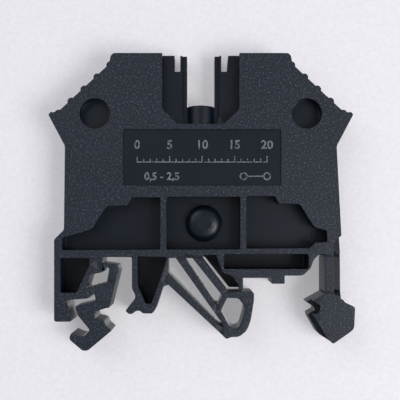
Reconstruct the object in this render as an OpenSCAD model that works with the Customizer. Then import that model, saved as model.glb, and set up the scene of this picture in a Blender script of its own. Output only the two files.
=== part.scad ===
// Feed-through DIN rail terminal block with screw clamps, standing on a 35 mm top-hat rail.
// X runs along the block, across the rail. Y runs along the rail, from the closed face to the
// open one. Z is up. The origin is on the rail's top surface, midway between its edges.

/* [Housing] */
// Thickness of the block along the rail
block_t = 5; // [4.6:0.1:7]
// Height of the top face over the rail
top_z = 39; // [37.5:0.5:48]
// Half of the length over the two wing tips
wing_half = 23.5; // [23:0.5:30]
// Half of the length over the two side walls
side_half = 20.9; // [20:0.1:22]
// Closed wall on the near face
near_wall = 0.9; // [0.7:0.1:1.1]
// Depth of the label field on the near face
label_depth = 0.25; // [0.1:0.05:0.4]
// Depth of the three windows on the near face
window_depth = 2.8; // [2:0.1:3]
// Web behind the windows
web_t = 1; // [0.6:0.1:1.2]
// Depth of the pockets in the feet
foot_pocket_depth = 4.1; // [3:0.1:4.2]
// Radius of the two round alignment pockets
align_r = 2.35; // [1.5:0.05:2.6]
// Depth of the alignment pockets
align_depth = 1.8; // [0.5:0.1:2]

/* [Clamps] */
// Distance from the middle to each clamp screw
clamp_x = 10; // [9.6:0.1:10.4]
// Height of the wire's axis
wire_z = 20.9; // [20.5:0.1:21.5]
// Radius of the wire entry
wire_r = 1.6; // [1.2:0.05:1.7]
// Radius of the screwdriver shaft
driver_r = 1.6; // [1.3:0.05:1.65]
// Length of a cage along the wire
cage_l = 4.8; // [3.9:0.1:5]
// Wall of a cage
cage_wall = 0.6; // [0.5:0.05:0.7]
// Bottom plate of a cage
cage_floor = 0.8; // [0.6:0.1:1]
// Threaded top plate of a cage
cage_nut = 1.6; // [1.2:0.1:1.8]
// Travel of a cage from open to closed
cage_travel = 2.7; // [2:0.1:2.8]

/* [Screws] */
// Thread diameter of a clamp screw
screw_d = 2.3; // [2:0.02:2.6]
// Diameter of a screw head
head_d = 3.6; // [3.4:0.1:3.7]
// Height of a screw head
head_h = 1.8; // [1.4:0.1:2]
// Width of the driver slot
slot_w = 0.6; // [0.4:0.05:0.8]
// Depth of the driver slot
slot_depth = 0.9; // [0.6:0.1:1]

/* [Current bar] */
// Width of the bar inside a cage
bar_w = 2.2; // [1.6:0.1:2.2]
// Width of the bar between the cages
bar_mid_w = 3.4; // [3:0.1:3.6]
// Thickness of the bar
bar_t = 1; // [0.8:0.1:1.2]
// Radius of the threaded hole in the middle
link_r = 1; // [0.8:0.05:1.1]

/* [Cross-connection slot] */
// Half of the slot's width
slot_half = 2.15; // [2:0.05:2.4]
// Depth of the slot below the top face
slot_deep = 8; // [6:0.5:8.5]
// Bore of the tube under the slot
tube_bore_r = 1.5; // [1.2:0.05:1.6]

/* [Rail feet] */
// Width of the top-hat rail
rail_w = 35; // [34.8:0.1:35.2]
// Depth of the near layer of the right hook
hook_step = 1.75; // [1:0.05:2.5]

/* [Hidden] */
$fn = 64;

moulding = [0.13, 0.15, 0.18];
zinc = [0.72, 0.73, 0.74];
tinned = [0.80, 0.78, 0.72];

over = 1;
y_near = -block_t / 2;
y_open = block_t / 2;
y_wall = y_near + near_wall;
y_web = y_near + window_depth;

// the clamps, stacked up from the wire
cage_near = y_wall + 0.15;
cage_far = y_open - 0.35;
clamp_y = (cage_near + cage_far) / 2;
wire_room = 1.7;
cage_z = wire_z - wire_room - cage_floor;
bar_z = wire_z + wire_room;
bar_top = bar_z + bar_t;
nut_z = bar_top + 2.5;
cage_top = nut_z + cage_nut;
head_z = cage_top + cage_travel + 0.1;
head_top = head_z + head_h;
play = 0.15;
chamber_half = cage_l / 2 + play;
chamber_z = cage_z - play;
chamber_top = head_top + 0.2;
thread_play = 0.08;
screw_rest = 0.05;
tip_z = bar_top + screw_rest;
tip_room = tip_z - cage_travel - thread_play; // lowest place of the tip inside a closed cage
bar_play = 0.05;

// the middle: slot, tube and recess
recess_depth = 1.6;
y_recess = y_near + recess_depth;
recess_half = 5.95;
slot_z = top_z - slot_deep;
tube_r = tube_bore_r + 0.6;
recess_z = slot_z - 2.9;
notch_z = top_z - 2.5;

// the wings
slope_run = 7.6;
slope_x = wing_half - 1.8;
crest_x = slope_x - slope_run;
wing_z = top_z - 9.4;
slope_low = wing_z + 0.6;
slope_high = top_z - 1.7;
ridge_count = 5;
ridge_r = 0.6;
ridge_rise = 0.35;
ridge_step = 0.262; // share of the slope from one ridge to the next
tip_r = 0.38;

// the base
shoulder_x = side_half + 1.67;
rib_z = 8.75;
seam_z = 7.45;
rail_half = rail_w / 2;
leaf_top = 8;
hook_top = 2;

// Points [x, z, r]: a corner with r over 0 is turned by a curve that starts r before it.
function corner(a, b, c) =
    let(r = b[2],
        p = [b[0], b[1]],
        u = [a[0], a[1]] - p,
        v = [c[0], c[1]] - p,
        s = p + u / norm(u) * min(r, norm(u) * 0.45),
        e = p + v / norm(v) * min(r, norm(v) * 0.45))
    r > 0
        ? [for (t = [0 : 0.25 : 1]) s * (1 - t) * (1 - t) + p * 2 * t * (1 - t) + e * t * t]
        : [p];
function soft(o) =
    let(n = len(o))
    [for (i = [0 : n - 1]) each corner(o[(i + n - 1) % n], o[i], o[(i + 1) % n])];
function mirrored(o) = [for (i = [len(o) - 1 : -1 : 0]) [-o[i][0], o[i][1], o[i][2]]];
function moved(o, dx) = [for (p = o) [p[0] + dx, p[1], p[2]]];
function rect(x0, z0, x1, z1, r) = [[x0, z0, r], [x1, z0, r], [x1, z1, r], [x0, z1, r]];

// An outline in X and Z, made solid from y0 to y1.
module slab(outline, y0, y1) {
    translate([0, y1, 0])
        rotate([90, 0, 0])
            linear_extrude(y1 - y0)
                polygon(soft(outline));
}
module near_cut(outline, depth) slab(outline, y_near - over, y_near + depth);
module open_cut(outline, y0) slab(outline, y0, y_open + over);
module rod_y(x, z, r, y0, y1) {
    translate([x, y1, z])
        rotate([90, 0, 0])
            cylinder(r = r, h = y1 - y0);
}

// Outline of the moulding, without its sprung feet.
wing_right = [
    [recess_half + 0.15, top_z, 0.3],
    [crest_x - 0.3, top_z, 0.7],
    [crest_x, slope_high, 0.4],
    [slope_x, slope_low, 0.3],
    [wing_half, wing_z, 0.25],
    [side_half, wing_z - 4.9, 0.3]
];
base_right = [
    [side_half + 0.7, 11.4, 0.2],
    [side_half + 0.9, leaf_top, 0],
    [19.1, leaf_top, 0],
    [18.4, leaf_top + 0.2, 0.3],
    [17.4, 7.25, 0.3],
    [16.9, 5.9, 0.3],
    [15.7, 4.75, 0.5],
    [12.9, 4.75, 0.15],
    [12.9, 3.5, 0.15],
    [10.9, 3.5, 0.15],
    [10.9, 4.4, 0.15],
    [6.5, 4.4, 0.1],
    [6.5, 2.55, 0.1],
    [4.5, 2.6, 0.1],
    [0.65, seam_z, 0.1],
    [-5.05, seam_z, 0.1]
];
middle_foot = [
    [-5.05, 3.3, 0.1],
    [-5.8, 3.1, 0.3],
    [-7, -0.5, 0.2],
    [-7.5, -1.1, 0.3],
    [-8.9, -1.05, 0.2],
    [-9.4, -0.65, 0.3],
    [-9.9, -0.65, 0.3],
    [-10.6, -1.15, 0.2],
    [-11.1, -1.15, 0.2],
    [-11.6, -0.65, 0.2],
    [-9.95, 1.45, 0.5],
    [-10.6, 2.8, 0.3],
    [-10.6, 7.6, 0.3]
];
left_column = [
    [-15.2, 7.6, 0.15],
    [-15.2, 5.25, 0.15],
    [-17.1, 4.9, 0.3],
    [-17.7, 2.85, 0.2],
    [-17.25, 2.85, 0],
    [-17.25, 1.25, 0.2],
    [-20.7, 0.97, 0.15],
    [-20.1, -1.1, 0.3],
    [-19.9, -2.34, 0.35],
    [-shoulder_x, -2.34, 0.4],
    [-shoulder_x, 10.3, 0.3],
    [-side_half - 0.15, 11.8, 0.3]
];
housing_outline = concat(wing_right, base_right, middle_foot, left_column, mirrored(wing_right));

window_left = [
    [-21.35, 8.65, 0.2],
    [-21.35, 10.55, 0.3],
    [-16.75, 11.9, 0.5],
    [-14.5, 15.5, 0.5],
    [-11.2, 15.6, 0.3],
    [-10.7, 16.8, 0.2],
    [-6.2, 16.8, 0.2],
    [-6.2, rib_z, 0.2]
];
window_middle = rect(-5.3, rib_z, 6.1, 16.9, 0.25);
window_right = [
    [7, 17, 0.2],
    [11.45, 17, 0.2],
    [11.95, 15.9, 0.3],
    [15.25, 15.8, 0.5],
    [17.5, 12.2, 0.5],
    [19.4, 11.7, 0.3],
    [19.5, 9.9, 0.3],
    [17.5, 9.8, 0.3],
    [16.8, 8.95, 0.3],
    [7, 8.9, 0.2]
];
column_pocket = [
    [-21.6, 7.5, 0.3],
    [-17.1, 7.45, 0.2],
    [-17.1, 6.4, 0.2],
    [-19.1, 2.1, 0.3],
    [-21.6, 2.1, 0.3]
];
foot_pocket = [
    [-9.75, 7.75, 0.2],
    [-9.7, 3.2, 0.3],
    [-8.5, 0.4, 0.3],
    [-7.6, 0.4, 0.3],
    [-6.2, 4.25, 0.3],
    [-5.2, 7.6, 0.2]
];
block_pocket = rect(3.5, 5.75, 16.6, 8.1, 0.4);
corner_pocket = [
    [0, 6.9, 0],
    [0.4, 7.95, 0.2],
    [2.4, 7.95, 0.2],
    [2.8, 6.6, 0.2],
    [3.4, 5.2, 0.3],
    [4.8, 4.7, 0.3],
    [5.9, 3.25, 0.2],
    [6, 1.5, 0],
    [3.6, 1.5, 0]
];

module driver_hole(side) {
    translate([side * clamp_x, clamp_y, chamber_top - over])
        cylinder(r = driver_r, h = top_z - chamber_top + 2 * over);
}
module clamp_chamber(side) {
    translate([side * clamp_x - chamber_half, y_wall, chamber_z])
        cube([2 * chamber_half, block_t, chamber_top - chamber_z]);
}
flare_l = 1.6;
module wire_hole(side) {
    flare_r = wire_r + 0.35;
    translate([side * (clamp_x + chamber_half - 0.5), clamp_y, wire_z])
        rotate([0, side * 90, 0])
            cylinder(r = wire_r, h = side_half);
    translate([side * (side_half - flare_l), clamp_y, wire_z])
        rotate([0, side * 90, 0])
            cylinder(r1 = wire_r, r2 = flare_r, h = flare_l + 0.6);
}
module side_ridges(side) {
    run = [slope_x - crest_x, slope_low - slope_high];
    sunk = (ridge_r - ridge_rise) * [run[1], -run[0]] / norm(run);
    for (i = [0 : ridge_count - 1]) {
        p = [crest_x, slope_high] + run * i * ridge_step + sunk;
        rod_y(side * p[0], p[1], ridge_r, y_near, y_open);
    }
    rod_y(side * (wing_half - 0.55), wing_z - 0.05, tip_r, y_near, y_open);
}
module wing_cavity() {
    low_z = wire_z + 3.4;
    wall = 1.1;
    x0 = clamp_x + chamber_half + 1.4;
    open_cut([
        [x0, low_z, 0.3],
        [side_half - wall, low_z, 0.3],
        [wing_half - 2.1, wing_z - 0.9, 0.3],
        [wing_half - 2.6, wing_z - 0.2, 0.3],
        [x0, slope_high - 1.7, 0.3]
    ], y_near + align_depth + web_t);
}
module tag_notch(side) {
    slab(side > 0
        ? [[3.2, notch_z, 0.15], [4.1, notch_z, 0.15], [4.35, top_z + over, 0], [3.2, top_z + over, 0]]
        : [[-3.2, notch_z, 0.15], [-3.2, top_z + over, 0], [-4.1, top_z + over, 0], [-4.1, notch_z, 0.15]],
        y_near - over, y_open + over);
}
module top_recess() {
    near_cut([
        [recess_half, top_z + over, 0],
        [recess_half, recess_z + 2.3, 0.3],
        [3.6, recess_z, 0.3],
        [-3.6, recess_z, 0.3],
        [-recess_half, recess_z + 2.3, 0.3],
        [-recess_half, top_z + over, 0]
    ], recess_depth);
    near_cut([
        [2.9, top_z + over, 0],
        [2.9, slot_z - 1.5, 0.2],
        [2.45, recess_z + 0.1, 0.1],
        [-2.45, recess_z + 0.1, 0.1],
        [-2.9, slot_z - 1.5, 0.2],
        [-2.9, top_z + over, 0]
    ], recess_depth + 0.5);
    slab(rect(-slot_half, slot_z, slot_half, top_z + over, 0.1), y_near - over, y_open + over);
    for (side = [-1, 1])
        tag_notch(side);
}
module link_tube() {
    intersection() {
        translate([0, 0, bar_top + bar_play])
            cylinder(r = tube_r, h = slot_z - bar_top - bar_play);
        translate([-tube_r, y_near + 0.35, bar_top])
            cube([2 * tube_r, block_t - 0.35, slot_z - bar_top]);
    }
}
gate_x = 0.5;
gate_z = 12.8;
module gate_dome() {
    base_r = 2.9;
    hub_r = 1.28;
    rise = 1.7;
    hub_h = 0.45;
    arc = [for (a = [0 : 15 : 75])
        [hub_r + (base_r - hub_r) * cos(a), rise * sin(a)]];
    translate([gate_x, y_web + 0.2, gate_z])
        rotate([90, 0, 0])
            rotate_extrude()
                polygon(concat([[0, 0]], [for (p = arc) [p[0], p[1] + 0.2]],
                               [[hub_r, rise + 0.2], [hub_r, rise + hub_h], [0, rise + hub_h]]));
}
module housing() {
    color(moulding)
        difference() {
            union() {
                difference() {
                    union() {
                        slab(housing_outline, y_near, y_open);
                        for (side = [-1, 1])
                            side_ridges(side);
                    }
                    top_recess();
                    near_cut(rect(-12, 18.6, 12.4, 27.3, 0.2), label_depth);
                    for (window = [window_left, window_middle, window_right]) {
                        near_cut(window, window_depth);
                        open_cut(window, y_web + web_t);
                    }
                    for (pocket = [column_pocket, foot_pocket, block_pocket, corner_pocket])
                        near_cut(pocket, foot_pocket_depth);
                    near_cut([
                        [20.5, leaf_top - over, 0],
                        [20.5, 10, 0.4],
                        [side_half + 0.7, 10.9, 0],
                        [side_half + 3, 10.9, 0],
                        [side_half + 3, leaf_top - over, 0]
                    ], hook_step);
                    for (side = [-1, 1]) {
                        rod_y(side * 16.3, wing_z + 0.1, align_r, y_near - over, y_near + align_depth);
                        clamp_chamber(side);
                    }
                    wing_cavity();
                    mirror([1, 0, 0])
                        wing_cavity();
                    open_cut(rect(-clamp_x, bar_z - bar_play, clamp_x, bar_top + bar_play, 0), y_wall);
                    for (side = [-1, 1]) {
                        open_cut(rect(side * 4.75 - 1.45, bar_top + 1.1, side * 4.75 + 1.45,
                                      slot_z - 1.4, 0.3), y_recess + 1.2);
                        open_cut(rect(side * 3.55 - 2.95, chamber_z + 0.1, side * 3.55 + 2.95,
                                      bar_z - 1.1, 0.3), y_wall);
                    }
                }
                link_tube();
                gate_dome();
            }
            for (side = [-1, 1]) {
                driver_hole(side);
                wire_hole(side);
            }
            translate([0, 0, bar_top - over])
                cylinder(r = tube_bore_r, h = slot_deep + slot_z - bar_top + 2 * over);
        }
}

module current_bar() {
    bar_half = clamp_x + cage_l / 2;
    mid_half = clamp_x - chamber_half - 0.55;
    color(tinned)
        difference() {
            union() {
                translate([-bar_half, clamp_y - bar_w / 2, bar_z])
                    cube([2 * bar_half, bar_w, bar_t]);
                translate([-mid_half, clamp_y - bar_mid_w / 2, bar_z])
                    cube([2 * mid_half, bar_mid_w, bar_t]);
            }
            translate([0, 0, bar_z - over])
                cylinder(r = link_r, h = bar_t + 2 * over);
        }
}

module clamp_cage(side) {
    height = cage_top - cage_z;
    depth = cage_far - cage_near;
    x0 = side * clamp_x - cage_l / 2;
    color(zinc)
        difference() {
            translate([x0, cage_near, cage_z])
                cube([cage_l, depth, height]);
            translate([x0 - over, cage_near + cage_wall, cage_z + cage_floor])
                cube([cage_l + 2 * over, depth - 2 * cage_wall, nut_z - cage_z - cage_floor]);
            translate([side * clamp_x, clamp_y, tip_room])
                cylinder(r = screw_d / 2 + thread_play, h = cage_top + over - tip_room);
            for (i = [0 : 2])
                translate([x0 + cage_l / 2 + (i - 1) * 1.3 - 0.2, cage_near + cage_wall,
                           cage_z + cage_floor - 0.2])
                    cube([0.4, depth - 2 * cage_wall, 0.3]);
        }
}
module clamp_cage_left() clamp_cage(-1);
module clamp_cage_right() clamp_cage(1);

module clamp_screw(side) {
    chamfer = 0.3;
    color(zinc)
        translate([side * clamp_x, clamp_y, 0])
            difference() {
                rotate_extrude()
                    polygon([
                        [0, tip_z],
                        [screw_d / 2 - chamfer, tip_z],
                        [screw_d / 2, tip_z + chamfer],
                        [screw_d / 2, head_z],
                        [head_d / 2, head_z],
                        [head_d / 2, head_top - chamfer],
                        [head_d / 2 - chamfer, head_top],
                        [0, head_top]
                    ]);
                translate([-head_d, -slot_w / 2, head_top - slot_depth])
                    cube([2 * head_d, slot_w, slot_depth + over]);
            }
}
module clamp_screw_left() clamp_screw(-1);
module clamp_screw_right() clamp_screw(1);

foot_split = 3.7;
module rail_foot() {
    // hooks under the left edge of the rail, at x = -rail_half once it is swung out
    shift = rail_half - 17.5;
    color(moulding)
        slab(moved([
            [-16.4, 3.2, 0],
            [-14.45, foot_split, 0],
            [-13.13, foot_split, 0],
            [-14.1, -0.2, 0.15],
            [-14.6, -0.25, 0.3],
            [-16, -0.7, 0.3],
            [-16.4, -1, 0.2],
            [-16.25, -1.85, 0.25],
            [-14.9, -2.15, 0.3],
            [-14.55, -3, 0.3],
            [-13.7, -3.7, 0.15],
            [-17.4, -6.8, 0.4],
            [-18.2, -6.8, 0.3],
            [-20.15, -5.15, 0.3],
            [-20.2, -4.65, 0.2],
            [-19.9, -4.05, 0.2],
            [-19.25, -4.4, 0.3],
            [-18.1, -4.75, 0.6],
            [-17.05, -3.65, 0.3],
            [-18.9, -1.4, 0.4],
            [-19.35, 0.02, 0.2],
            [-16.4, 0.65, 0.4],
            [-16.15, 1.1, 0.3],
            [-16.4, 1.9, 0]
        ], -shift), y_near, y_open);
}
module rail_foot_web() {
    color(moulding)
        slab([[-17.25, 1.9, 0], [-16.4, 1.9, 0], [-16.4, 2.9, 0], [-17.25, 2.9, 0]], y_near, y_open);
}
module rail_foot_leaf() {
    color(moulding)
        slab([
            [-15.2, 6.7, 0],
            [-12.9, 6.4, 0.3],
            [-12.7, 5.6, 0.3],
            [-13.13, foot_split, 0],
            [-14.45, foot_split, 0],
            [-14.05, 5.95, 0.3],
            [-15.2, 6.05, 0]
        ], y_near, y_open);
}

hook_right_side = [
    [20.4, -5.75, 0.3],
    [22.7, -4.15, 0.6],
    [23.6, -3.45, 0.6],
    [23.75, -0.1, 0.3],
    [22.9, 0.3, 0.4],
    [22, 0.7, 0.4]
];
module rail_hook() {
    // hooks under the right edge of the rail, which its notch meets at x = rail_half
    shift = rail_half - 17.5;
    color(moulding) {
        difference() {
            slab(moved(concat([
                [21.85, hook_top, 0],
                [19.1, hook_top, 0],
                [18.9, 1.85, 0.2],
                [16.5, 0.5, 0.2],
                [17.85, -0.3, 0.2],
                [17.85, -0.8, 0.2],
                [16.8, -1.35, 0.25],
                [16.9, -1.8, 0.2],
                [18.4, -4.45, 0.3]
            ], hook_right_side), shift), y_near, y_open);
            near_cut(moved([
                [15, hook_top, 0],
                [18.95, hook_top, 0],
                [17.3, 0.9, 0.1],
                [18.4, 0.15, 0.1],
                [18.4, -0.95, 0.1],
                [17.3, -1.3, 0.1],
                [18.2, -2.8, 0.3],
                [19.2, -4.35, 0.3],
                [20.4, -5.9, 0],
                [15, -5.9, 0]
            ], shift), hook_step);
            near_cut([
                [20.5, hook_top + over, 0],
                [20.5, 1.85, 0.2],
                [22.3, 0.75, 0],
                [23, hook_top + over, 0]
            ], hook_step);
        }
    }
}
module rail_hook_leaf() {
    color(moulding)
        difference() {
            slab([
                [19.1, leaf_top, 0],
                [19.1, hook_top, 0],
                [21.85, hook_top, 0],
                [side_half + 0.9, leaf_top, 0]
            ], y_near, y_open);
            near_cut(rect(20.5, hook_top - over, 25, leaf_top + over, 0), hook_step);
        }
}

arm_end = 2.35;
module g_foot_loop() {
    color(moulding)
        difference() {
            slab([
                [4.05, 2.25, 0],
                [8.2, 2.3, 0.5],
                [8.2, 1, 0.3],
                [7.7, -2.15, 0.5],
                [7.1, -3.7, 0.5],
                [5.9, -4.7, 0.5],
                [4.7, -4.7, 0.3],
                [3.95, -5.05, 0.3],
                [3, -4.1, 0],
                [3.4, -3.25, 0],
                [3.35, -2.7, 0],
                [arm_end, -1.29, 0],
                [arm_end, 0.35, 0],
                [2.8, 0.35, 0],
                [3.3, 1.7, 0]
            ], y_near, y_open);
            slab([
                [4.05, 1.3, 0.2],
                [5.8, 1.3, 0.5],
                [6.8, -0.1, 0.3],
                [6.7, -0.9, 0.3],
                [6.1, -3, 0.4],
                [5.35, -3.55, 0.4],
                [4.4, -3.05, 0.3],
                [3.1, -0.65, 0.3]
            ], y_near - over, y_open + over);
        }
}
module g_foot_arm_lower() {
    color(moulding)
        slab([
            [-5.05, 3.4, 0],
            [3, -4.1, 0],
            [3.4, -3.25, 0],
            [2.5, -2.65, 0],
            [-4.85, 4.95, 0.2],
            [-5.05, 5.4, 0]
        ], y_near, y_open);
}
module g_foot_arm_middle() {
    color(moulding)
        slab([[-3.85, seam_z, 0], [arm_end, -1.29, 0], [arm_end, 0.35, 0], [-2.5, seam_z, 0]],
             y_near, y_open);
}
module g_foot_arm_upper() {
    color(moulding)
        slab([[-1.3, seam_z, 0], [3.3, 1.7, 0], [4.05, 2.25, 0], [4.05, 2.5, 0], [0.25, seam_z, 0]],
             y_near, y_open);
}

housing();
current_bar();
clamp_cage_left();
clamp_cage_right();
clamp_screw_left();
clamp_screw_right();
rail_foot();
rail_foot_web();
rail_foot_leaf();
rail_hook();
rail_hook_leaf();
g_foot_loop();
g_foot_arm_lower();
g_foot_arm_middle();
g_foot_arm_upper();
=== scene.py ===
"""Looks of a DIN rail terminal block: a matt black moulding with sprung feet, zinc-plated clamps and
a tinned current bar, standing in front of a white surface."""

import math

import bmesh
import bpy
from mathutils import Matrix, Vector

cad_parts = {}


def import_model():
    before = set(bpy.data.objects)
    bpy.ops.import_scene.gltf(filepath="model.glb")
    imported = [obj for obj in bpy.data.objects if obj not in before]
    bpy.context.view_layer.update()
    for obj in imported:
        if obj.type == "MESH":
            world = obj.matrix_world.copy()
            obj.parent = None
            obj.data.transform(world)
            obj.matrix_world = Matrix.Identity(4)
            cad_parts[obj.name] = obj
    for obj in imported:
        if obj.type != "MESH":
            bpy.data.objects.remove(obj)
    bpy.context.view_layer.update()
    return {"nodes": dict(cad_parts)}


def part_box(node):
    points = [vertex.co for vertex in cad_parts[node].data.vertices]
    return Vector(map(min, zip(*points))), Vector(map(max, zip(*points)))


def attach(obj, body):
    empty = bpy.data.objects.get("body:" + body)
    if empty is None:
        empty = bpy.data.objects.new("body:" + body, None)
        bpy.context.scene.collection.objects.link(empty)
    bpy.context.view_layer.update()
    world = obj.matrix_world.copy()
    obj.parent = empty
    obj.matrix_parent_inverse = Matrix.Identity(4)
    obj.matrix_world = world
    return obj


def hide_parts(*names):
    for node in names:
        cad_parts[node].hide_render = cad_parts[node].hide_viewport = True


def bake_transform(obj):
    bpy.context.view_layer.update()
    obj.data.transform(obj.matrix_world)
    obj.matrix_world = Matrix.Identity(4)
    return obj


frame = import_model()

MM = 0.001
SEAM_TOL = 0.004 * MM
MERGE = 0.0005 * MM
CUT_TOL = 0.0002 * MM
LO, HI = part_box("housing")
NEAR_Y = LO.y
OPEN_Y = HI.y

WEB_LO, WEB_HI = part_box("rail_foot_web")
LEAF_LO, LEAF_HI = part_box("rail_foot_leaf")
HOOK_LEAF_LO, HOOK_LEAF_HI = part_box("rail_hook_leaf")
LOOP_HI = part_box("g_foot_loop")[1]
LOWER_LO, LOWER_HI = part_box("g_foot_arm_lower")
MIDDLE_LO, MIDDLE_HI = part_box("g_foot_arm_middle")
UPPER_LO, UPPER_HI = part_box("g_foot_arm_upper")


# ---------------------------------------------------------------- shader maths
class Wire:
    """A node socket's value, on which Python arithmetic adds Math nodes."""

    def __init__(self, tree, socket):
        self.tree = tree
        self.socket = socket

    def _math(self, operation, *values):
        return self.tree.node("ShaderNodeMath", {"operation": operation}, dict(enumerate(values)))

    def __add__(self, other):
        return self._math("ADD", self, other)

    def __sub__(self, other):
        return self._math("SUBTRACT", self, other)

    def __rsub__(self, other):
        return self._math("SUBTRACT", other, self)

    def __mul__(self, other):
        return self._math("MULTIPLY", self, other)

    __radd__ = __add__
    __rmul__ = __mul__

    def above(self, edge, width):
        """0 below edge, 1 above edge + width, smooth between."""
        return self.tree.node(
            "ShaderNodeMapRange",
            {"interpolation_type": "SMOOTHSTEP"},
            {"Value": self, "From Min": edge, "From Max": edge + width},
        )


class Finish:
    """A material's node tree, with one method that adds any node."""

    def __init__(self, name):
        self.material = bpy.data.materials.new(name)
        self.material.use_nodes = True
        self.nodes = self.material.node_tree.nodes
        self.links = self.material.node_tree.links
        self.nodes.clear()
        self.output = self.nodes.new("ShaderNodeOutputMaterial")

    def node(self, kind, settings=None, inputs=None, out=0):
        made = self.nodes.new(kind)
        for key, value in (settings or {}).items():
            setattr(made, key, value)
        for key, value in (inputs or {}).items():
            self.put(made.inputs[key], value)
        return Wire(self, made.outputs[out])

    def put(self, socket, value):
        if isinstance(value, Wire):
            self.links.new(value.socket, socket)
        else:
            socket.default_value = value

    def place(self):
        return self.node("ShaderNodeTexCoord", out="Object")

    def depth(self):
        return self.node("ShaderNodeSeparateXYZ", None, {"Vector": self.place()}, out="Y")

    def noise(self, scale, detail=2.0, rough=0.5, stretch=None):
        vector = self.place()
        if stretch:
            vector = self.node(
                "ShaderNodeVectorMath", {"operation": "MULTIPLY"}, {0: vector, 1: stretch}
            )
        return self.node(
            "ShaderNodeTexNoise",
            None,
            {"Vector": vector, "Scale": scale, "Detail": detail, "Roughness": rough},
        )

    def blend(self, factor, first, second):
        return self.node(
            "ShaderNodeMix",
            {"data_type": "RGBA"},
            {0: factor, 6: first, 7: second},
            out=2,
        )

    def surface(self, inputs, bump=None, strength=0.3, distance=0.02 * MM):
        if bump is not None:
            normal = self.node(
                "ShaderNodeBump",
                None,
                {"Height": bump, "Strength": strength, "Distance": distance},
            )
            inputs = {**inputs, "Normal": normal}
        shader = self.node("ShaderNodeBsdfPrincipled", None, inputs)
        self.links.new(shader.socket, self.output.inputs["Surface"])
        return self.material


def rgb(r, g, b):
    return (r, g, b, 1.0)


def moulded_black(name="moulded_black", mark_highlight=0.0):
    """Spark-eroded black polyamide: grainy on the outer faces, smoother in the pockets. Surfaces set
    back from the near face are also painted darker, partly for their smoother finish and partly as
    painted shade in the recesses. Raised marks get a paler tone, which is a painted highlight."""
    f = Finish(name)
    # Depth mask: set-back surfaces turn smoother and darker; the darker colour is partly the
    # smoother finish, partly painted shade in recesses.
    sunk_smooth_and_shaded = f.depth().above(NEAR_Y + 0.16 * MM, 0.07 * MM)
    grain = f.noise(3600, 2.0, 0.75)
    cloud = f.noise(260, 2.0, 0.5)
    fleck = grain.above(0.53, 0.12)
    face = f.blend(cloud, rgb(0.005, 0.007, 0.013), rgb(0.008, 0.012, 0.020))
    face = f.blend(fleck * 0.8, face, rgb(0.050, 0.072, 0.104))
    # Darker colour for set-back surfaces: partly the smoother finish, partly painted shade in the
    # recesses.
    deep_smooth_and_shaded = f.blend(cloud, rgb(0.001, 0.003, 0.007), rgb(0.002, 0.006, 0.013))
    colour = f.blend(sunk_smooth_and_shaded, face, deep_smooth_and_shaded)
    # Raised marks are blended toward a paler grey, mottled by the grain: a painted highlight.
    if mark_highlight:
        colour = f.blend(mark_highlight * grain.above(0.3, 0.3), colour, rgb(0.17, 0.19, 0.20))
    roughness = 0.56 - 0.18 * sunk_smooth_and_shaded + 0.16 * (grain - 0.5)
    height = grain * (1 - 0.75 * sunk_smooth_and_shaded) + 0.3 * cloud
    return f.surface(
        {"Base Color": colour, "Roughness": roughness, "Specular IOR Level": 0.30},
        bump=height,
        strength=0.55,
    )


def zinc_plated(name, tint, along):
    """Zinc-plated steel, with fine drawing lines along one direction."""
    f = Finish(name)
    lines = f.noise(2600, 3.0, 0.6, stretch=along)
    stain = f.noise(420, 3.0, 0.55)
    colour = f.blend(stain.above(0.35, 0.35), rgb(*[0.86 * c for c in tint]), rgb(*tint))
    roughness = 0.26 + 0.16 * lines + 0.12 * stain
    return f.surface(
        {"Base Color": colour, "Metallic": 1.0, "Roughness": roughness},
        bump=lines + 0.5 * stain,
        strength=0.22,
        distance=0.01 * MM,
    )


def tinned_bar():
    """Bright tin over copper, a little cloudy, rubbed warmer in places."""
    f = Finish("tinned_bar")
    cloud = f.noise(520, 4.0, 0.6)
    rub = f.noise(1500, 2.0, 0.5, stretch=(1.0, 6.0, 6.0))
    colour = f.blend(cloud.above(0.45, 0.25), rgb(0.66, 0.60, 0.50), rgb(0.80, 0.78, 0.72))
    return f.surface(
        {"Base Color": colour, "Metallic": 1.0, "Roughness": 0.24 + 0.22 * cloud + 0.1 * rub},
        bump=cloud + 0.5 * rub,
        strength=0.2,
        distance=0.01 * MM,
    )


BLACK = moulded_black()
# Finish for the raised marks, with their painted highlight.
MARKS_HIGHLIGHTED = moulded_black("moulded_marks", mark_highlight=0.8)
CAGE = zinc_plated("cage_zinc", (0.50, 0.51, 0.53), (1.0, 1.0, 7.0))
SCREW = zinc_plated("screw_zinc", (0.74, 0.73, 0.69), (5.0, 5.0, 1.0))
TIN = tinned_bar()


# ---------------------------------------------------------------- meshes from the frame
def welded(node):
    """The CAD node's mesh as a bmesh of whole flat faces."""
    bm = bmesh.new()
    bm.from_mesh(frame["nodes"][node].data)
    bmesh.ops.remove_doubles(bm, verts=bm.verts, dist=MERGE)
    bmesh.ops.dissolve_limit(
        bm, angle_limit=math.radians(0.6), verts=bm.verts, edges=bm.edges
    )
    return bm


def on_seam(edge, seams):
    """True for an edge that lies in one of the planes (point, normal) where two pieces meet."""
    return any(
        all(abs((v.co - point).dot(normal)) < SEAM_TOL for v in edge.verts)
        for point, normal in seams
    )


def round_edges(bm, width, seams=(), least=24):
    """Round every edge that turns by more than least degrees, apart from those on a seam."""
    sharp = [
        e
        for e in bm.edges
        if len(e.link_faces) == 2
        and e.calc_face_angle(0) > math.radians(least)
        and not on_seam(e, seams)
    ]
    bmesh.ops.bevel(
        bm,
        geom=sharp,
        offset=width,
        offset_type="OFFSET",
        segments=2,
        profile=0.5,
        affect="EDGES",
        clamp_overlap=True,
    )


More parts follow.
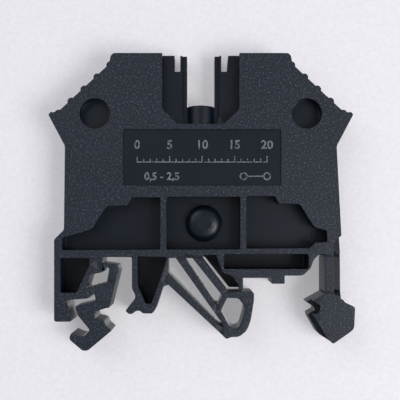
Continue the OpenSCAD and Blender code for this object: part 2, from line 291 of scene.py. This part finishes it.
def as_piece(name, bm, material, smooth=38):
    """The bmesh as an object whose flat faces shade flat."""
    mesh = bpy.data.meshes.new(name)
    bmesh.ops.triangulate(bm, faces=[f for f in bm.faces if len(f.verts) > 4])
    bm.to_mesh(mesh)
    bm.free()
    for polygon in mesh.polygons:
        polygon.use_smooth = True
    mesh.set_sharp_from_angle(angle=math.radians(smooth))
    piece = bpy.data.objects.new(name, mesh)
    bpy.context.scene.collection.objects.link(piece)
    weighted = piece.modifiers.new("flat_faces", "WEIGHTED_NORMAL")
    weighted.keep_sharp = True
    weighted.weight = 100
    mesh.materials.append(material)
    return piece


def stand_in(node):
    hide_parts(node)


def plane(p, q):
    """The plane across the block through two points (x, z), as (point, normal)."""
    along = Vector((q[0] - p[0], 0, q[1] - p[1]))
    return Vector((p[0], 0, p[1])), along.cross(Vector((0, 1, 0))).normalized()


# Planes where a sprung foot leaves the moulding, or a flexing leaf meets its head.
LEAF_TOP = HOOK_LEAF_HI.z
HOOK_TOP = HOOK_LEAF_LO.z
FOOT_TOP = LEAF_LO.z
ARM_TOP = MIDDLE_HI.z
FLAT = Vector((0, 0, 1))
ACROSS = Vector((1, 0, 0))
HOOK_SEAMS = [(Vector((0, 0, LEAF_TOP)), FLAT), (Vector((0, 0, HOOK_TOP)), FLAT)]
WEB_SEAMS = [(Vector((WEB_LO.x, 0, 0)), ACROSS), (Vector((WEB_HI.x, 0, 0)), ACROSS)]
LEAF_SEAMS = [(Vector((0, 0, FOOT_TOP)), FLAT), (Vector((LEAF_LO.x, 0, 0)), ACROSS)]
ARM_ROOTS = [(Vector((0, 0, ARM_TOP)), FLAT), (Vector((LOWER_LO.x, 0, 0)), ACROSS)]
ARM_END = MIDDLE_HI.x
ARM_TIPS = [
    (Vector((ARM_END, 0, 0)), ACROSS),
    plane((3.0 * MM, -4.1 * MM), (3.4 * MM, -3.25 * MM)),
    plane((3.3 * MM, 1.7 * MM), (UPPER_HI.x, LOOP_HI.z - 0.05 * MM)),
]
EDGE = 0.09 * MM
METAL_EDGE = 0.1 * MM
HEAD_H = 1.8 * MM


def moulding_piece(node, body, seams, width=EDGE):
    bm = welded(node)
    round_edges(bm, width, seams)
    piece = as_piece(node + "_moulding", bm, BLACK)
    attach(piece, body)
    stand_in(node)


def flexing_piece(node, start, end, seams, cuts, width=EDGE):
    """A leaf that bends between the moulding and its foot, cut into short lengths."""
    bm = welded(node)
    round_edges(bm, width, seams)
    start, end = Vector(start), Vector(end)
    step = (end - start) / cuts
    for i in range(1, cuts):
        bmesh.ops.bisect_plane(
            bm,
            geom=bm.verts[:] + bm.edges[:] + bm.faces[:],
            dist=CUT_TOL,
            plane_co=start + step * i,
            plane_no=step.normalized(),
        )
    piece = as_piece(node + "_flexing", bm, BLACK)
    stand_in(node)
    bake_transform(piece)


moulding_piece("housing", "housing", HOOK_SEAMS[:1] + WEB_SEAMS[:1] + LEAF_SEAMS[1:] + ARM_ROOTS)
moulding_piece("rail_foot", "rail_foot", WEB_SEAMS[1:] + LEAF_SEAMS[:1])
moulding_piece("rail_hook", "rail_hook", HOOK_SEAMS[1:])
moulding_piece("g_foot_loop", "g_foot", ARM_TIPS)
flexing_piece(
    "rail_foot_web",
    (WEB_LO.x, 0, WEB_LO.z),
    (WEB_HI.x, 0, WEB_LO.z),
    WEB_SEAMS,
    6,
    0.05 * MM,
)
flexing_piece(
    "rail_foot_leaf",
    (LEAF_LO.x, 0, LEAF_HI.z),
    (LEAF_HI.x - 0.4 * MM, 0, FOOT_TOP),
    LEAF_SEAMS,
    10,
)
flexing_piece(
    "rail_hook_leaf",
    (HOOK_LEAF_LO.x, 0, LEAF_TOP),
    (HOOK_LEAF_LO.x, 0, HOOK_TOP),
    HOOK_SEAMS,
    10,
)
ARM_STARTS = {
    "g_foot_arm_lower": (LOWER_LO.x, 0, LOWER_HI.z - 1.2 * MM),
    "g_foot_arm_middle": (MIDDLE_LO.x + 0.6 * MM, 0, ARM_TOP),
    "g_foot_arm_upper": (UPPER_LO.x + 0.8 * MM, 0, ARM_TOP),
}
ARM_ENDS = {
    "g_foot_arm_lower": (3.0 * MM, 0, -3.4 * MM),
    "g_foot_arm_middle": (ARM_END, 0, -0.5 * MM),
    "g_foot_arm_upper": (3.3 * MM, 0, 1.75 * MM),
}
for arm in ARM_STARTS:
    flexing_piece(arm, ARM_STARTS[arm], ARM_ENDS[arm], ARM_ROOTS + ARM_TIPS, 12, 0.06 * MM)


# ---------------------------------------------------------------- clamps and bar
def metal_piece(node, body, material):
    bm = welded(node)
    round_edges(bm, METAL_EDGE, least=30)
    piece = as_piece(node + "_finished", bm, material)
    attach(piece, body)
    stand_in(node)


def clamp_screw(side):
    """A slotted screw whose shank carries a real thread."""
    node = "clamp_screw_" + side
    lo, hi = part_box(node)
    middle = (lo + hi) / 2
    shank_r = 1.15 * MM
    root_r = 0.93 * MM
    pitch = 0.45 * MM
    taper = 0.5 * MM
    head_z = hi.z - HEAD_H
    bm = welded(node)
    cut = bmesh.ops.bisect_plane(
        bm,
        geom=bm.verts[:] + bm.edges[:] + bm.faces[:],
        dist=CUT_TOL,
        plane_co=(0, 0, head_z + 0.001 * MM),
        plane_no=(0, 0, 1),
        clear_inner=True,
    )
    rim = [e for e in cut["geom_cut"] if isinstance(e, bmesh.types.BMEdge)]
    bmesh.ops.contextual_create(bm, geom=rim)
    round_edges(bm, METAL_EDGE, least=30)
    around, per_pitch = 48, 8
    rows = int((head_z - lo.z) / pitch * per_pitch)
    rings = []
    for row in range(rows + 1):
        z = lo.z + (head_z - lo.z) * row / rows
        tip = min(1.0, (z - lo.z) / taper)
        ring = []
        for k in range(around):
            turn = (z / pitch - k / around) % 1.0
            crest = 1 - abs(2 * turn - 1)
            r = root_r + (shank_r - root_r) * crest * tip
            a = 2 * math.pi * k / around
            ring.append(bm.verts.new((middle.x + r * math.cos(a), middle.y + r * math.sin(a), z)))
        rings.append(ring)
    for lower, upper in zip(rings, rings[1:]):
        for k in range(around):
            n = (k + 1) % around
            bm.faces.new((lower[k], lower[n], upper[n], upper[k]))
    bm.faces.new(rings[0][::-1])
    bm.faces.new(rings[-1])
    bmesh.ops.recalc_face_normals(bm, faces=bm.faces[:])
    piece = as_piece(node + "_threaded", bm, SCREW, smooth=50)
    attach(piece, "screw_" + side)
    stand_in(node)


for side in ("left", "right"):
    metal_piece("clamp_cage_" + side, "cage_" + side, CAGE)
    clamp_screw(side)
metal_piece("current_bar", "housing", TIN)


# ---------------------------------------------------------------- generic marks in the label field
MARK_Y = NEAR_Y + 0.25 * MM
MARK_RISE = 0.15 * MM
MARK_SINK = 0.02 * MM
GAUGE_X = -9.8 * MM
GAUGE_LENGTH = 20  # millimetres
GAUGE_STEP = 5


def raised(name, bm):
    piece = as_piece(name, bm, MARKS_HIGHLIGHTED)
    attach(piece, "housing")


def bar_mark(bm, x0, z0, x1, z1):
    centre = Vector(((x0 + x1) / 2, MARK_Y - MARK_RISE / 2 + MARK_SINK, (z0 + z1) / 2))
    made = bmesh.ops.create_cube(bm, size=1)
    for v in made["verts"]:
        v.co = centre + Vector(
            (v.co.x * (x1 - x0), v.co.y * (MARK_RISE + 2 * MARK_SINK), v.co.z * (z1 - z0))
        )


def strip_gauge():
    """A millimetre scale for the length of insulation to strip."""
    bm = bmesh.new()
    x0, z0, half, line = GAUGE_X, 22.15 * MM, 0.09 * MM, 0.18 * MM
    bar_mark(bm, x0 - half, z0, x0 + GAUGE_LENGTH * MM + half, z0 + line)
    for tick in range(GAUGE_LENGTH + 1):
        tall = (1.0 if tick % GAUGE_STEP == 0 else 0.6) * MM
        x = x0 + tick * MM
        bar_mark(bm, x - half, z0 + line - MARK_SINK, x + half, z0 + tall)
    raised("strip_gauge_marks", bm)


def wire_symbol():
    """Two terminals joined by a line."""
    bm = bmesh.new()
    left_x, right_x, z = 6.6 * MM, 10.2 * MM, 20.05 * MM
    outer, inner, around = 0.62 * MM, 0.4 * MM, 32
    front, back = MARK_Y - MARK_RISE, MARK_Y + MARK_SINK
    for x in (left_x, right_x):
        rings = [
            [
                bm.verts.new((x + r * math.cos(t), y, z + r * math.sin(t)))
                for t in [2 * math.pi * k / around for k in range(around)]
            ]
            for r, y in ((outer, back), (outer, front), (inner, front), (inner, back))
        ]
        for a, b in zip(rings, rings[1:] + rings[:1]):
            for k in range(around):
                n = (k + 1) % around
                bm.faces.new((a[k], a[n], b[n], b[k]))
    bmesh.ops.recalc_face_normals(bm, faces=bm.faces[:])
    reach, half = outer - 0.06 * MM, 0.1 * MM
    bar_mark(bm, left_x + reach, z - half, right_x - reach, z + half)
    raised("wire_symbol_marks", bm)


def numbers(name, text, x, z, height):
    curve = bpy.data.curves.new(name + "_outline", "FONT")
    curve.body = text
    curve.size = height / 0.7
    curve.extrude = MARK_RISE / 2
    curve.offset = 0.05 * MM
    curve.align_x = "CENTER"
    curve.resolution_u = 3
    source = bpy.data.objects.new(name + "_outline", curve)
    source.rotation_euler = (math.pi / 2, 0, 0)
    source.location = (x, MARK_Y - MARK_RISE / 2 + 0.01 * MM, z)
    bpy.context.scene.collection.objects.link(source)
    bpy.context.view_layer.update()
    evaluated = source.evaluated_get(bpy.context.evaluated_depsgraph_get())
    bm = bmesh.new()
    bm.from_mesh(evaluated.to_mesh())
    bm.transform(source.matrix_world)
    evaluated.to_mesh_clear()
    bpy.data.objects.remove(source)
    bmesh.ops.remove_doubles(bm, verts=bm.verts, dist=0.002 * MM)
    raised(name, bm)


strip_gauge()
wire_symbol()
for value in range(0, GAUGE_LENGTH + 1, GAUGE_STEP):
    x = GAUGE_X + value * MM
    numbers(f"gauge_number_{value}", str(value), x, 24.3 * MM, 1.3 * MM)
numbers("wire_size_numbers", "0,5 - 2,5", -6 * MM, 19.5 * MM, 1.15 * MM)


# ---------------------------------------------------------------- stage
def backdrop_finish():
    """White surface seen by the camera from its front only; from behind it lets the view through."""
    f = Finish("white_surface")
    grain = f.noise(1500, 3.0, 0.6)
    tone = f.blend(grain, rgb(0.40, 0.39, 0.42), rgb(0.54, 0.53, 0.56))
    lit = f.node("ShaderNodeBsdfDiffuse", None, {"Color": tone})
    glow = f.node("ShaderNodeEmission", None, {"Color": rgb(0.98, 0.97, 1.0), "Strength": 0.30})
    white = f.node("ShaderNodeAddShader", None, {0: lit, 1: glow})
    clear = f.node("ShaderNodeBsdfTransparent")
    behind = f.node("ShaderNodeNewGeometry", out="Backfacing")
    shown = f.node("ShaderNodeMixShader", None, {0: behind, 1: white, 2: clear})
    f.links.new(shown.socket, f.output.inputs["Surface"])
    return f.material


def backdrop():
    reach, gap = 0.6, 0.3 * MM
    mesh = bpy.data.meshes.new("backdrop")
    y = OPEN_Y + gap
    mesh.from_pydata(
        [(-reach, y, -reach), (reach, y, -reach), (reach, y, reach), (-reach, y, reach)],
        [],
        [(0, 1, 2, 3)],
    )
    mesh.materials.append(backdrop_finish())
    sheet = bpy.data.objects.new("backdrop", mesh)
    bpy.context.scene.collection.objects.link(sheet)
    sheet.visible_glossy = False
    sheet.visible_transmission = False
    sheet.visible_shadow = False


def world():
    w = bpy.data.worlds.new("studio")
    bpy.context.scene.world = w
    w.use_nodes = True
    nodes, links = w.node_tree.nodes, w.node_tree.links
    nodes.clear()
    output = nodes.new("ShaderNodeOutputWorld")
    lit = nodes.new("ShaderNodeBackground")
    lit.inputs["Color"].default_value = rgb(0.93, 0.95, 1.0)
    lit.inputs["Strength"].default_value = 0.42
    seen = nodes.new("ShaderNodeBackground")
    seen.inputs["Color"].default_value = rgb(0.90, 0.91, 0.93)
    seen.inputs["Strength"].default_value = 1.0
    ray = nodes.new("ShaderNodeLightPath")
    mix = nodes.new("ShaderNodeMixShader")
    links.new(ray.outputs["Is Camera Ray"], mix.inputs[0])
    links.new(lit.outputs[0], mix.inputs[1])
    links.new(seen.outputs[0], mix.inputs[2])
    links.new(mix.outputs[0], output.inputs["Surface"])


def lamp(name, place, power, size, colour=(1, 1, 1)):
    light = bpy.data.lights.new(name, "AREA")
    light.energy = power
    light.size = size
    light.color = colour
    made = bpy.data.objects.new(name, light)
    made.location = place
    aim = Vector((0, 0, 0.016)) - Vector(place)
    made.rotation_euler = aim.to_track_quat("-Z", "Y").to_euler()
    bpy.context.scene.collection.objects.link(made)


def camera():
    """Level with the lower windows and square to the near face, framed a little above its axis."""
    distance, focal, axis_z = 95 * MM, 55.6, 12.54 * MM
    data = bpy.data.cameras.new("camera")
    data.lens = focal
    data.sensor_width = 36
    data.shift_y = 0.0625
    data.clip_start = 0.01
    data.clip_end = 10
    made = bpy.data.objects.new("camera", data)
    made.location = (-0.12 * MM, NEAR_Y - distance, axis_z)
    made.rotation_euler = (math.pi / 2, 0, 0)
    bpy.context.scene.collection.objects.link(made)
    bpy.context.scene.camera = made


bpy.context.scene.view_settings.view_transform = "Standard"
backdrop()
world()
lamp("key_low_right", (0.26, -0.30, -0.10), 1.5, 0.22, (1.0, 0.99, 0.97))
lamp("fill_top_left", (-0.25, -0.32, 0.25), 0.7, 0.35, (0.94, 0.95, 1.0))
lamp("back_right", (0.28, 0.35, 0.12), 1.3, 0.25)
lamp("back_left", (-0.25, 0.30, 0.22), 0.9, 0.25)
lamp("top", (0.02, 0.02, 0.45), 0.7, 0.30)
camera()
